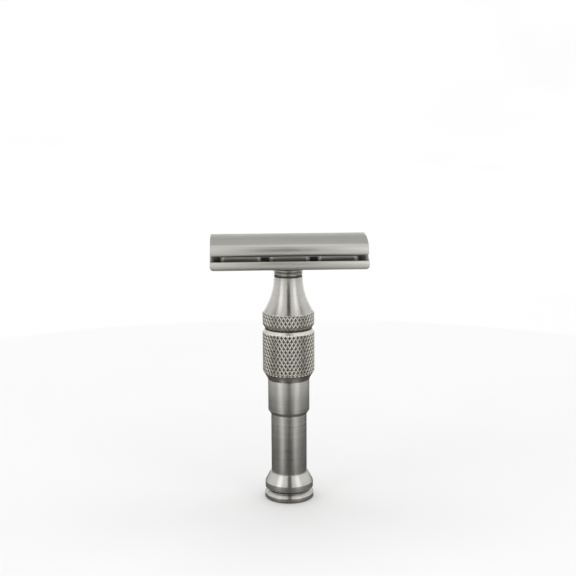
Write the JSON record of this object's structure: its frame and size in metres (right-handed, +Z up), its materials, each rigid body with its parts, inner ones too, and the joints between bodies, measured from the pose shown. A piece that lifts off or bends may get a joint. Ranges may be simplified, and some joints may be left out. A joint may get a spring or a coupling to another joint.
{
  "type": "safety razor",
  "caption": "Short steel safety razor with a clamped double-edge head, slotted safety bars, a flared neck, diamond-knurled grip and a flanged foot it stands on.",
  "frame": {"origin": "Middle of the foot's underside, on the surface the razor stands on.", "axes": "+Z up along the handle, X along the head and the blade's edges, Y from edge to edge."},
  "size_m": [0.0432, 0.0222, 0.0762],
  "materials": {
    "satin_steel": "satin stainless steel, brushed along the head",
    "turned_steel": "turned stainless steel with fine lathe lines",
    "plain_steel": "machined stainless steel",
    "blade_steel": "polished thin blade steel",
    "brass": "turned brass",
    "black_seal": "black sealing washer"
  },
  "bodies": {
    "handle": {"neck_collar": "turned_steel", "stud_bush": "brass", "neck_washer": "black_seal", "neck_cone": "turned_steel", "grip_washer": "black_seal", "grip_barrel": "turned_steel", "grip_sleeve": "turned_steel", "shaft": "turned_steel", "tie_rod": "plain_steel", "foot_flange": "turned_steel", "foot_washer": "black_seal", "foot_knob": "turned_steel"},
    "plate": {"base_plate": "satin_steel"},
    "blade": {"blade": "blade_steel"},
    "cap": {"top_cap": "satin_steel", "cap_stud": "plain_steel", "cap_pins": "plain_steel"}
  },
  "joints": [
    {"name": "head_turn", "type": "hinge", "parent": "handle", "child": "plate", "pos_m": [0, 0, 0.068], "axis": [0, 0, 1], "range_deg": [0, 3240]},
    {"name": "cap_rise", "type": "slide", "parent": "plate", "child": "cap", "axis": [0, 0, 1], "range_m": [0, 0.0072]},
    {"name": "blade_lift", "type": "slide", "parent": "plate", "child": "blade", "axis": [0, 0, 1], "range_m": [0, 0.0036]}
  ],
  "couplings": [
    {"joint": "cap_rise", "follows": "head_turn", "m_per_rad": 0.0001273},
    {"joint": "blade_lift", "follows": "head_turn", "m_per_rad": 0.0000636}
  ]
}
